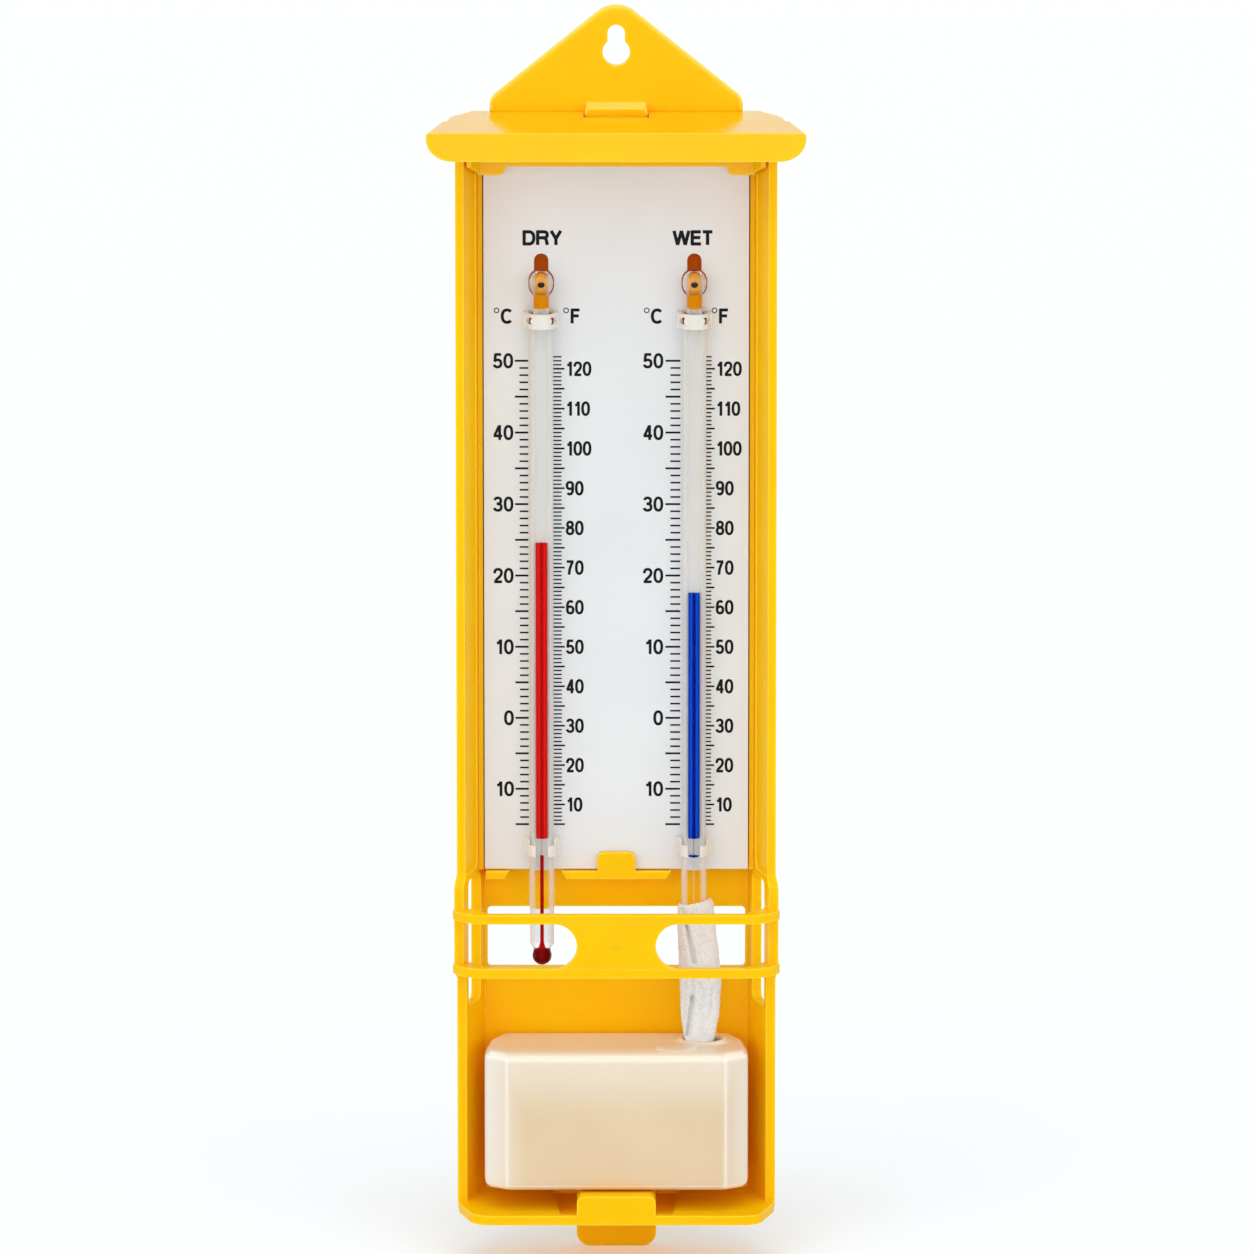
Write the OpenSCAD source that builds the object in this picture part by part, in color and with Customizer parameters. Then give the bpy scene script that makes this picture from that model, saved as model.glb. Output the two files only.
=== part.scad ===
// Wet and dry bulb hygrometer for a wall: a yellow moulded case with a push-fit roof, a white scale
// plate with two glass thermometers in clips, a guard over the bulbs and a water reservoir with a wick.
// The origin is the centre of the hanging keyhole on the back face, +Z is up, the front faces -Y.

/* [Case] */
// Width across the front edges of the side walls
case_w = 82.6; // [81:0.2:85]
// Width across the back face
back_w = 72.2; // [71:0.2:74]
// Depth of the side walls from the back face
wall_depth = 18.5; // [17.5:0.5:20]
// Thickness of the side walls
wall_t = 2.4; // [2.1:0.1:2.8]
// Thickness of the back
back_t = 2.2; // [1.8:0.1:2.6]
// How far the walls reach further forward beside the bulbs
shoulder = 2.5; // [1.5:0.5:3.5]
// Height of the bulb and reservoir bay, from the scale ledge to the shelf
bay_h = 86.1; // [86:0.5:92]
// Depth of the relief on the inner wall faces beside the scale
relief_t = 0.3; // [0.2:0.1:0.5]

/* [Hanger] */
// Height from the keyhole centre to the top of the hanger
hanger_rise = 12.1; // [11:0.1:14]
// Height from the keyhole centre down to the roof
key_to_roof = 15.4; // [15:0.1:18]
// Width of the hanger at its foot
hanger_w = 65.2; // [60:0.2:66]
// Thickness of the hanger
hanger_t = 2.5; // [2.2:0.1:3]
// Radius of the rounded peak
peak_r = 7.7; // [6:0.1:8.5]
// Width of the bevelled border
bevel_w = 2.4; // [1.5:0.1:3]
// Radius of the keyhole's round part
key_r = 3.5; // [3.2:0.1:3.8]
// Width of the keyhole's slot
key_slot_w = 4.4; // [3.6:0.1:4.6]
// Height of the slot's round top above the keyhole centre
key_slot_h = 7.1; // [6:0.1:7.5]

/* [Roof] */
// Width of the roof across its front
roof_w = 96.8; // [94:0.2:100]
// Depth of the roof's front face from the back of the case
roof_depth = 37; // [35:0.5:40]
// Height of the front face
fascia_h = 7.4; // [6.8:0.1:8.5]
// Thickness of the roof moulding
roof_t = 2.2; // [1.8:0.1:2.4]
// Fall of the roof from back to front
roof_fall = 0.4; // [0.2:0.1:1]
// Width of the snap hook that holds the roof
hook_w = 16.2; // [12:0.2:20]

/* [Scale plate] */
// Width of the plate
plate_w = 68.3; // [66:0.1:68.6]
// Height of the plate
plate_h = 189.2; // [188:0.5:195]
// Thickness of the plate
plate_t = 1.5; // [1.2:0.1:1.8]
// Distance from the back face to the front of the plate
plate_front = 8.3; // [8:0.1:9]
// Width of the tab that keeps the plate's lower edge
tab_w = 9.9; // [8:0.1:12]
// Height of that tab
tab_h = 7; // [5:0.1:8]

/* [Thermometers] */
// Distance of each stem from the middle
stem_x = 19.7; // [18.5:0.1:20]
// Sideways shift of both stems
stem_shift = 0.4; // [0:0.1:0.5]
// Diameter of the glass stems
stem_d = 6.2; // [5.8:0.1:6.4]
// Diameter of the glass bulbs
bulb_d = 5; // [4.6:0.1:5.4]
// Diameter of the wide thread that the lens front shows
thread_d = 1.9; // [1.4:0.1:2]
// Diameter of the narrow thread below the scale
capillary_d = 0.8; // [0.7:0.1:1.2]
// Length of one degree Celsius on the scale
degree_mm = 1.877; // [1.85:0.001:1.9]
// Reading of the dry thermometer in degrees Celsius
dry_temp = 25; // [20:1:35]
// Reading of the wet thermometer in degrees Celsius
wet_temp = 18; // [10:1:25]

/* [Guard] */
// Depth of the guard's front from the back of the case
guard_depth = 28; // [27:0.5:30]
// Height of each rail
rail_h = 2.4; // [2:0.1:3]
// Thickness of the rails from front to back
rail_t = 2.3; // [1.8:0.1:2.6]
// Clear height between the rails
rail_gap = 11.9; // [11:0.1:13]
// Width of the middle web at its waist
web_w = 20.4; // [16:0.2:22]

/* [Shelf] */
// Depth of the shelf's front edge from the back of the case
shelf_depth = 34.3; // [34:0.1:36]
// Thickness of the shelf
shelf_t = 2.5; // [2:0.1:3]
// Width of the raised rest under the reservoir
rest_w = 20.4; // [18:0.2:24]
// Height of that rest
rest_h = 5.1; // [4:0.1:6]
// Width of the fixing tongue
tongue_w = 20.8; // [20:0.2:24]
// Height of the tongue below the shelf
tongue_h = 13.4; // [12:0.1:15]
// Radius of the fixing hole in the tongue
fixing_r = 1.6; // [1.4:0.1:2]
// Distance of the fixing hole's centre below the shelf
fixing_drop = 5.6; // [5:0.1:8]

/* [Reservoir] */
// Width of the reservoir
tank_w = 68.4; // [66:0.2:69]
// Depth of the reservoir
tank_d = 27.1; // [25:0.1:27.5]
// Height of the reservoir
tank_h = 36.6; // [34:0.1:37]
// Wall of the reservoir
tank_t = 1.4; // [1.2:0.1:1.6]
// Radius of the wick hole
mouth_r = 4.8; // [4.7:0.1:5.2]
// Width of the cotton wick
wick_w = 10.6; // [9.8:0.1:10.8]

/* [Hidden] */
$fn = 48;

// clearances
seat = 0.3;
snug = 0.1;
bore_gap = 0.04;
over = 1;

// the walls lean outward towards the front
flare = atan((case_w - back_w) / 2 / wall_depth);
lean = tan(flare);
wall_across = wall_t / cos(flare);
function outer_x(depth) = back_w / 2 + depth * lean;
function inner_x(depth) = outer_x(depth) - wall_across;

// levels, from the top down
z_roof = -key_to_roof;
z_roof_under = z_roof - roof_fall - roof_t;
z_wall_top = z_roof_under - seat;
z_fascia = z_roof - roof_fall - fascia_h;
plate_drop = 8.6;
z_plate_top = z_roof - plate_drop;
z_plate_bottom = z_plate_top - plate_h;
z_ledge = z_plate_bottom - seat;
guard_drop = 7.8;
z_rail_top = z_ledge - guard_drop;
z_low_rail_top = z_rail_top - rail_h - rail_gap;
z_low_rail_bottom = z_low_rail_top - rail_h;
window_drop = 11;
window_reach = 2.6;
z_window_top = z_ledge - window_drop;
z_window_bottom = z_low_rail_bottom - window_reach;
slot_drop = 1;
slot_reach = 9.9;
z_slot_top = z_ledge - slot_drop;
z_slot_bottom = z_low_rail_bottom - slot_reach;
z_floor = z_ledge - bay_h;
z_under = z_floor - shelf_t;
z_tongue = z_under - tongue_h;

// places of the thermometers
dry_x = stem_shift - stem_x;
wet_x = stem_shift + stem_x;
stem_r = stem_d / 2;
neck_r = stem_r * 0.65;
stem_y = -plate_front - seat - stem_r;
zero_rise = 40;
z_zero = z_plate_bottom + zero_rise;
z_dry = z_zero + dry_temp * degree_mm;
z_wet = z_zero + wet_temp * degree_mm;
level_h = 6;
tip_drop = 31.05;
z_tip = z_plate_top - tip_drop;
chamber_h = 6.9;
chamber_r = stem_r - 0.2;
shoulder_drop = 44;
z_shoulder = z_plate_top - shoulder_drop;
z_stem = z_shoulder - 1.5;
clip_drop = 42.2;
z_clip_top = z_plate_top - clip_drop;
upper_clip_h = 3.9;
lower_clip_h = 4.5;
low_clip_rise = 9;
z_low_clip_top = z_plate_bottom + low_clip_rise;
z_thin = z_low_clip_top - lower_clip_h;
bulb_drop = 22.2;
z_bulb = z_plate_bottom - bulb_drop;
bulb_r = bulb_d / 2;
cavity_r = bulb_r - 0.45;
thread_r = thread_d / 2;
capillary_r = capillary_d / 2;
z_bulb_top = z_bulb + sqrt(cavity_r * cavity_r - capillary_r * capillary_r);
enamel_w = stem_d * 0.68;
enamel_t = 0.35;
enamel_y = thread_r + bore_gap + 0.25;
enamel_drop = 40.8;
z_enamel_top = z_plate_top - enamel_drop;

// the reservoir and its mouth
tank_y = -back_t - 1;
z_tank = z_floor + rest_h + seat;
z_tank_top = z_tank + tank_h;
mouth_x = wet_x + 2.3;
mouth_y = tank_y - 10.8;
ring_r = mouth_r + 2;

function arc(cx, cy, r, a0, a1, n = 10) =
    [for (i = [0:n]) let (a = a0 + (a1 - a0) * i / n) [cx + r * cos(a), cy + r * sin(a)]];
function flip(pts) = [for (i = [len(pts) - 1:-1:0]) [-pts[i][0], pts[i][1]]];

// a flat outline in x and z, as a slab whose back lies at the given depth
module slab(front, back) {
    translate([0, -back, 0]) rotate([90, 0, 0]) linear_extrude(front - back) children();
}

// an outline in y and z, as a slab between two places on the x axis
module across(x0, x1) {
    translate([x0, 0, 0]) rotate([90, 0, 90]) linear_extrude(x1 - x0) children();
}

// a rectangle with round corners, from its lower left and upper right corners
module soft_rect(x0, y0, x1, y1, r) {
    polygon(concat(arc(x1 - r, y1 - r, r, 0, 90, 6), arc(x0 + r, y1 - r, r, 90, 180, 6),
        arc(x0 + r, y0 + r, r, 180, 270, 6), arc(x1 - r, y0 + r, r, 270, 360, 6)));
}

// hanger outline: a rounded peak between two rounded feet
foot_r = 4;
module hanger_shape(inset) {
    px = hanger_w / 2 - foot_r;
    pz = z_roof + 1.5;
    cz = hanger_rise - peak_r;
    // the side runs as the common tangent of the foot arc and the peak arc
    reach = norm([px, cz - pz]);
    tilt = atan2(cz - pz, px) + asin((peak_r - foot_r) / reach);
    a = 90 - tilt;
    pr = peak_r - inset;
    fr = foot_r - inset;
    half = concat([[px + fr, z_wall_top - seat]], arc(px, pz, fr, 0, a, 8), arc(0, cz, pr, a, 90, 8));
    polygon(concat(half, flip([for (i = [0:len(half) - 2]) half[i]])));
}

module hanger() {
    difference() {
        hull() {
            slab(hanger_t - 0.8, 0) hanger_shape(0);
            slab(hanger_t, 0) hanger_shape(bevel_w);
        }
        translate([0, over, 0]) rotate([90, 0, 0]) cylinder(r = key_r, h = hanger_t + 2 * over);
        slab(hanger_t + over, -over) union() {
            translate([-key_slot_w / 2, 0]) square([key_slot_w, key_slot_h - key_slot_w / 2]);
            translate([0, key_slot_h - key_slot_w / 2]) circle(d = key_slot_w);
        }
    }
}

// the hook that the roof snaps under: an arm over the roof's back bar, with a lip that drops in its slot
hook_reach = 5.6;
bar_d = 2.6;
module snap_hook() {
    lip = hook_reach - seat - bar_d - seat;
    top = z_roof + 2.5;
    low = z_roof - 0.8;
    hull() {
        slab(hanger_t, hanger_t - 0.5) polygon([[-hook_w / 2 + 0.6, top], [hook_w / 2 - 0.6, top],
            [hook_w / 2 - 0.2, z_roof + seat], [-hook_w / 2 + 0.2, z_roof + seat]]);
        slab(hanger_t + hook_reach, hanger_t + hook_reach - 0.4) polygon([[-hook_w / 2 + 1, top - 1],
            [hook_w / 2 - 1, top - 1], [hook_w / 2, z_roof + seat], [-hook_w / 2, z_roof + seat]]);
    }
    slab(hanger_t + hook_reach, hanger_t + hook_reach - lip) polygon([[-hook_w / 2, z_roof + seat],
        [hook_w / 2, z_roof + seat], [hook_w / 2 - 0.3, low], [-hook_w / 2 + 0.3, low]]);
}

// one side wall: its leaning plan, cut to its side outline, with the air slot
wall_foot_r = 4;
slot_near = 6;
slot_far = 16.8;
module leaning_plan(x_shift, t, d0, d1) {
    polygon([[outer_x(d0) - x_shift, -d0], [outer_x(d1) - x_shift, -d1], [outer_x(d1) - x_shift - t, -d1],
        [outer_x(d0) - x_shift - t, -d0]]);
}
module wall_outline() {
    front = -wall_depth;
    bulge = front - shoulder;
    bulge_top = z_rail_top + 5.8;
    bulge_foot = z_low_rail_bottom + 1.2;
    slope_h = 3.3;
    polygon(concat([[over, z_under], [over, z_wall_top], [front, z_wall_top],
        [front, bulge_top + slope_h], [bulge, bulge_top], [bulge, bulge_foot],
        [front, bulge_foot - slope_h]],
        arc(front + wall_foot_r, z_under + wall_foot_r, wall_foot_r, 180, 270, 8)));
}
module side_wall() {
    x0 = inner_x(0) - over;
    x1 = outer_x(wall_depth + shoulder) + over;
    difference() {
        intersection() {
            translate([0, 0, z_under]) linear_extrude(z_wall_top - z_under)
                leaning_plan(0, wall_across, 0, wall_depth + shoulder);
            across(x0, x1) wall_outline();
        }
        across(x0, x1) soft_rect(-slot_far, z_slot_bottom, -slot_near, z_slot_top, 2);
        // relief beside the scale, with one rounded corner at its foot
        intersection() {
            translate([0, 0, z_ledge]) linear_extrude(z_wall_top - z_ledge + over)
                leaning_plan(wall_across - relief_t, over, plate_front, wall_depth + over);
            across(x0, x1) polygon(concat([[-wall_depth - over, z_ledge + 0.7],
                [-wall_depth - over, z_wall_top + over], [-plate_front - 0.5, z_wall_top + over]],
                arc(-plate_front - 3.2, z_ledge + 3.4, 2.7, 0, -90, 6)));
        }
    }
}
// rounds the lower outer edge where a side wall meets the shelf
edge_round = 2.5;
module edge_cutter() {
    r = edge_round;
    translate([back_w / 2, 0, z_under]) rotate([0, 0, flare - 90]) across(-over, wall_depth + 2 * over)
        polygon(concat([[over, -over], [over, r]], arc(-r, r, r, 0, -90, 8), [[-r, -over]]));
}

// upright ribs that place the plate sideways, and the bearers that it lies on
rib_t = 1.2;
bearer_x = 29;
module plate_seat() {
    rib_x = plate_w / 2 + seat;
    plate_back = plate_front - plate_t;
    for (s = [-1, 1]) {
        translate([s > 0 ? rib_x : -rib_x - rib_t, -plate_front + 0.6, z_ledge])
            cube([rib_t, plate_front - 0.6 - back_t / 2, z_wall_top - z_ledge]);
        translate([s * bearer_x - 0.8, -plate_back + 0.05, z_ledge + 8])
            cube([1.6, plate_back - 0.05 - back_t / 2, plate_h - 16]);
    }
}

// ledges under the plate; the middle one carries the tab
ledge_t = 2;
module ledge(x0, x1, slope0, slope1) {
    translate([0, -back_t / 2, 0]) rotate([90, 0, 0]) linear_extrude(plate_front + ledge_t - back_t / 2)
        polygon([[x0, z_ledge], [x1, z_ledge], [x1 - slope1, z_ledge - ledge_t],
            [x0 + slope0, z_ledge - ledge_t]]);
}
module plate_ledges() {
    ledge(-14.2, 14.2, 1.4, 1.4);
    ledge(-inner_x(back_t) + 0.4, -28, 0, 1.2);
    // the tab stands in front of the plate's lower edge
    slab(plate_front + ledge_t, plate_front + seat) soft_rect(-tab_w / 2, z_ledge - ledge_t + 0.2,
        tab_w / 2, z_ledge + tab_h - ledge_t, 1.7);
}

// plan of one rail: round outside corners, thick where it leaves the walls
corner_r = 9;
module rail_plan() {
    x1 = outer_x(wall_depth + shoulder);
    y0 = -(wall_depth + shoulder);
    xc = x1 - corner_r + 0.6;
    yc = -guard_depth + corner_r;
    right = concat(arc(xc, yc, corner_r, -90, -14, 9), [[x1 - 0.7, y0 + 0.6],
        [x1 - 1.6, -wall_depth], [inner_x(wall_depth) - 1.9, -wall_depth - 1.5],
        [xc - 0.2, -guard_depth + rail_t]]);
    polygon(concat(right, flip(right)));
}
module guard() {
    for (z = [z_rail_top - rail_h, z_low_rail_bottom])
        translate([0, 0, z]) linear_extrude(rail_h) rail_plan();
    // the web between the rails is cut by a half round at each end
    end_r = rail_gap / 2;
    mid = z_low_rail_top + end_r;
    slab(guard_depth - 0.2, guard_depth - rail_t + 0.2) difference() {
        translate([-web_w / 2 - end_r, z_low_rail_top - rail_h / 2])
            square([web_w + 2 * end_r, rail_gap + rail_h]);
        for (s = [-1, 1]) translate([s * (web_w / 2 + end_r), mid]) circle(r = end_r);
    }
}

// shelf with clipped front corners, a raised hollow rest and a shallow recess on each side of it
module shelf_plan() {
    xw = outer_x(wall_depth) - 0.05;
    right = [[inner_x(0) + 0.2, -back_t / 2], [inner_x(wall_depth) + 0.2, -wall_depth + 0.6],
        [xw - 0.6, -wall_depth + 0.3], [xw, -wall_depth - 0.5]];
    edge = concat(right, arc(xw - 8.5, -shelf_depth + 5.4, 5.4, -22, -90, 7));
    polygon(concat(edge, flip(edge)));
}
module shelf() {
    difference() {
        translate([0, 0, z_under]) linear_extrude(shelf_t) shelf_plan();
        translate([0, 0, z_floor - 0.8]) linear_extrude(over + 0.8)
            polygon([[-16.4, -back_t - 4], [16.4, -back_t - 4], [14.6, -shelf_depth + 1.9],
                [-14.6, -shelf_depth + 1.9]]);
        translate([-rest_w / 2 + 1.8, -shelf_depth + 2, z_under - over])
            cube([rest_w - 3.6, shelf_depth - back_t - 3.4, shelf_t + 2 * over]);
    }
    slab(shelf_depth, back_t / 2) difference() {
        polygon(concat([[rest_w / 2, z_under]], arc(rest_w / 2 - 1.8, z_floor + rest_h - 1.8, 1.8, 0, 90, 5),
            arc(-rest_w / 2 + 1.8, z_floor + rest_h - 1.8, 1.8, 90, 180, 5), [[-rest_w / 2, z_under]]));
        translate([-rest_w / 2 + 1.8, z_under - over]) square([rest_w - 3.6, over + shelf_t + rest_h - 1.8]);
    }
    // the rest is closed by the shelf's own front edge
    slab(shelf_depth, shelf_depth - 2) polygon([[-rest_w / 2 + 1, z_under], [rest_w / 2 - 1, z_under],
        [rest_w / 2 - 1, z_floor + rest_h - 1], [-rest_w / 2 + 1, z_floor + rest_h - 1]]);
}

module tongue() {
    r = 3.6;
    difference() {
        slab(back_t, 0) polygon(concat([[tongue_w / 2, z_under + shelf_t / 2]],
            flip(arc(-tongue_w / 2 + r, z_tongue + r, r, 270, 180, 8)),
            arc(-tongue_w / 2 + r, z_tongue + r, r, 270, 180, 8), [[-tongue_w / 2, z_under + shelf_t / 2]]));
        translate([0, over, z_under - fixing_drop]) rotate([90, 0, 0])
            cylinder(r = fixing_r, h = back_t + 2 * over);
    }
}

module back_panel() {
    slab(back_t, 0) difference() {
        translate([-back_w / 2 + 1, z_under]) square([back_w - 2, z_wall_top - z_under]);
        soft_rect(-inner_x(back_t) + 0.7, z_window_bottom, inner_x(back_t) - 0.7, z_window_top, 1);
    }
}

module case() {
    color([1, 0.78, 0.04]) {
        difference() {
            union() {
                back_panel();
                side_wall();
                mirror([1, 0, 0]) side_wall();
                shelf();
            }
            edge_cutter();
            mirror([1, 0, 0]) edge_cutter();
        }
        hanger();
        snap_hook();
        plate_seat();
        plate_ledges();
        guard();
        tongue();
    }
}

// roof section at one depth: flat top, and a quarter round that tucks in under each end
edge_soft = 0.8;
module roof_section(depth, half, tuck, top, low, bottom) {
    end = concat(arc(half - edge_soft, top - edge_soft, edge_soft, 90, 0, 4),
        [for (a = [0:9:90]) [half - tuck + tuck * cos(a), low + (top - low - 2 * edge_soft) * (1 - sin(a))]],
        bottom < low ? [[half - tuck, bottom]] : []);
    slab(depth + 0.1, depth) polygon(concat(end, flip(end)));
}
roof_back = 0.6;
skirt_t = 0.9;
roof_step = wall_depth + 1;
roof_flare = 0.2;
module roof_rear() {
    low = z_fascia;
    mid_d = 10.7;
    mid_x = outer_x(mid_d) + seat + 3.4;
    end_x = outer_x(roof_step) + seat + 1.9;
    hull() {
        roof_section(roof_back, outer_x(roof_back) + seat + skirt_t, 0.5, z_roof, low, low);
        roof_section(mid_d, mid_x, mid_x - outer_x(mid_d) - seat - skirt_t, z_roof, low, low);
        roof_section(roof_step, end_x, end_x - outer_x(roof_step) - seat - skirt_t, z_roof, low, low);
    }
}
// the overhang in front of the walls, or with an inset its hollow
module roof_front(start, inset, rise, bottom) {
    lip = inset > 0 ? skirt_t : 0;
    half0 = roof_w / 2 - (roof_depth - start) * roof_flare;
    half1 = roof_w / 2 - inset * roof_flare;
    low = z_fascia + rise;
    hull() {
        roof_section(start, half0 - inset, half0 - inset - outer_x(wall_depth) - seat - skirt_t + lip,
            z_roof - inset, low, bottom);
        roof_section(roof_depth - 0.1 - inset, half1 - inset, half1 - inset - outer_x(wall_depth) - seat + lip,
            z_roof - roof_fall - inset, low, bottom);
    }
}

// plan of the case's outside with clearance, for the pocket that the walls stand in
module wall_pocket_plan() {
    x0 = outer_x(0) + seat;
    x1 = outer_x(wall_depth) + seat;
    polygon([[-x0, over], [x0, over], [x0, 0], [x1, -wall_depth], [x1, -wall_depth - seat],
        [-x1, -wall_depth - seat], [-x1, -wall_depth], [-x0, 0]]);
}

// the valance hangs in front of the plate's top edge; its ends are deeper, with one round corner each
valance_t = 1.6;
module valance() {
    plug_x = inner_x(plate_front) - seat;
    end_w = 7.2;
    low = z_plate_top - 6.7;
    rise = z_plate_top - 4.5;
    right = concat([[plug_x, z_roof - roof_t / 2], [plug_x, low]],
        arc(plug_x - end_w + 1.8, low + 1.8, 1.8, 270, 180, 5), [[plug_x - end_w, rise]]);
    slab(plate_front + seat + valance_t, plate_front + seat) polygon(concat(flip(right), [for (p = right) p]));
}

// cheeks run from the valance forward, inside the walls
cheek_t = 1.2;
module cheek() {
    z0 = z_plate_top - 6.7;
    front = wall_depth - 0.6;
    x0 = inner_x(plate_front + seat) - seat;
    x1 = inner_x(front) - seat;
    for (s = [-1, 1]) hull() for (p = [[x0, plate_front + seat, z0], [x1, front, z0 + 3.2]])
        translate([s * (p[0] - cheek_t / 2) - cheek_t / 2, -p[1] - 0.1, p[2]])
            cube([cheek_t, 0.1, z_roof - roof_fall - roof_t / 2 - p[2]]);
}

module roof() {
    color([1, 0.8, 0.1]) {
        difference() {
            union() {
                roof_rear();
                roof_front(roof_step - 0.3, 0, 0, z_fascia);
            }
            roof_front(wall_depth - 0.1, roof_t, roof_t - 0.4, z_fascia - over);
            translate([0, 0, z_fascia - over]) linear_extrude(z_roof_under - z_fascia + over)
                wall_pocket_plan();
            // notch for the hanger
            translate([-hanger_w / 2 - seat, -hanger_t - seat, z_roof_under - over])
                cube([hanger_w + 2 * seat, hanger_t + seat + over, roof_t + roof_fall + 2 * over]);
            // slot over the snap hook's lip
            translate([-hook_w / 2 - seat, -hanger_t - hook_reach - 4.4, z_roof - roof_t - over])
                cube([hook_w + 2 * seat, hook_reach - bar_d - seat + 4.4, roof_t + 2 * over]);
        }
        // the tongue in the slot, below the lip
        translate([-2.7, -hanger_t - hook_reach - 5, z_roof - roof_t])
            cube([5.4, 5 - seat, roof_t - 1.2]);
        valance();
        cheek();
    }
}

// cut-outs behind each thermometer: a slot, a round window behind the chamber and one behind the neck,
// and a pair of holes at each clip
peg_x = 3.85;
peg_w = 1.1;
peg_h = 2.4;
slot_r = 1.85;
module peg_holes(z) {
    for (s = [-1, 1]) translate([s * peg_x - peg_w / 2 - snug, z - peg_h / 2 - snug])
        square([peg_w + 2 * snug, peg_h + 2 * snug]);
}
module scale_plate() {
    color([0.9, 0.89, 0.86]) slab(plate_front, plate_front - plate_t) difference() {
        soft_rect(-plate_w / 2, z_plate_bottom, plate_w / 2, z_plate_top, 0.5);
        for (x = [dry_x, wet_x]) translate([x, 0]) {
            translate([0, z_tip + slot_r]) circle(r = slot_r);
            translate([-slot_r, z_clip_top - 2]) square([2 * slot_r, z_tip + slot_r - z_clip_top + 2]);
            hull() for (z = [z_tip - chamber_h / 2, z_tip - chamber_h / 2 - 1.1])
                translate([0, z]) circle(r = chamber_r + 0.4);
            translate([0, z_clip_top - 2.5]) circle(r = stem_r);
            peg_holes(z_clip_top - upper_clip_h / 2);
            peg_holes(z_low_clip_top - lower_clip_h / 2);
        }
    }
}

// half outline of the glass from the tip down: expansion chamber, neck, stem, swell and bulb
function oval(cz, rx, rz, a0, a1, n) =
    [for (i = [0:n]) let (a = a0 + (a1 - a0) * i / n) [rx * sin(a), cz + rz * cos(a)]];
z_chamber = z_tip - chamber_h / 2;
chamber_wall = 0.5;
swell = 0.15;
function glass_side() = concat(
    [[0, z_tip]], oval(z_chamber, chamber_r, chamber_h / 2, 12, 136, 10),
    [[neck_r, z_shoulder], [stem_r, z_stem], [stem_r, z_thin - 3], [stem_r + swell, z_thin - 5],
    [stem_r + swell, z_thin - 13], [stem_r, z_thin - 16], [stem_r, z_bulb + bulb_r + 1],
    [stem_r - 0.5, z_bulb + bulb_r], [bulb_r * 0.88, z_bulb + bulb_r * 0.75]],
    oval(z_bulb, bulb_r, bulb_r, 66, 168, 9), [[0, z_bulb - bulb_r]]);
// one sealed cavity: bulb, capillary, thread bore and expansion chamber
function cavity_side() = concat(
    [[0, z_bulb - cavity_r - bore_gap]],
    oval(z_bulb, cavity_r + bore_gap, cavity_r + bore_gap, 168, 16, 12),
    [[capillary_r + bore_gap, z_bulb_top + 0.2], [capillary_r + bore_gap, z_thin],
    [thread_r + bore_gap, z_thin + 0.5], [thread_r + bore_gap, z_enamel_top],
    [0.6, z_enamel_top + 0.6], [0.6, z_chamber - chamber_h / 2 + 1]],
    oval(z_chamber, chamber_r - chamber_wall, chamber_h / 2 - chamber_wall, 158, 12, 9),
    [[0, z_tip - chamber_wall]]);
module enamel_strip(gap) {
    translate([-enamel_w / 2 - gap, enamel_y, z_low_clip_top])
        cube([enamel_w + 2 * gap, enamel_t, z_enamel_top - z_low_clip_top]);
}
module glass(x) {
    color([0.9, 0.95, 0.97, 0.45]) translate([x, stem_y, 0]) difference() {
        rotate_extrude() polygon(glass_side());
        rotate_extrude() polygon(cavity_side());
        enamel_strip(0.02);
    }
}
module dry_glass() { glass(dry_x); }
module wet_glass() { glass(wet_x); }

// the white enamel strip is fused into the glass behind the bore
module enamel(x) {
    color([0.96, 0.96, 0.95]) translate([x, stem_y, 0]) enamel_strip(0);
}
module dry_enamel() { enamel(dry_x); }
module wet_enamel() { enamel(wet_x); }

// the coloured spirit: bulb with its narrow thread, the wide column, and the column's top, which shows
// the reading and rides up and down the bore
module bulb_spirit(x) {
    translate([x, stem_y, 0]) rotate_extrude() polygon(concat([[0, z_bulb - cavity_r]],
        oval(z_bulb, cavity_r, cavity_r, 168, 16, 12), [[capillary_r, z_bulb_top], [capillary_r, z_thin],
        [0, z_thin]]));
}
module column(x, z_top) {
    translate([x, stem_y, 0]) rotate_extrude() polygon([[0, z_thin], [capillary_r, z_thin],
        [thread_r, z_thin + 0.5], [thread_r, z_top - level_h], [0, z_top - level_h]]);
}
module level(x, z_top) {
    translate([x, stem_y, z_top - level_h]) cylinder(r = thread_r, h = level_h);
}
module dry_bulb_spirit() { color([0.62, 0.04, 0.05]) bulb_spirit(dry_x); }
module wet_bulb_spirit() { color([0.05, 0.2, 0.62]) bulb_spirit(wet_x); }
module dry_column() { color([0.84, 0.05, 0.06]) column(dry_x, z_dry); }
module wet_column() { color([0.02, 0.25, 0.75]) column(wet_x, z_wet); }
module dry_level() { color([0.84, 0.05, 0.06]) level(dry_x, z_dry); }
module wet_level() { color([0.02, 0.25, 0.75]) level(wet_x, z_wet); }

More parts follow.
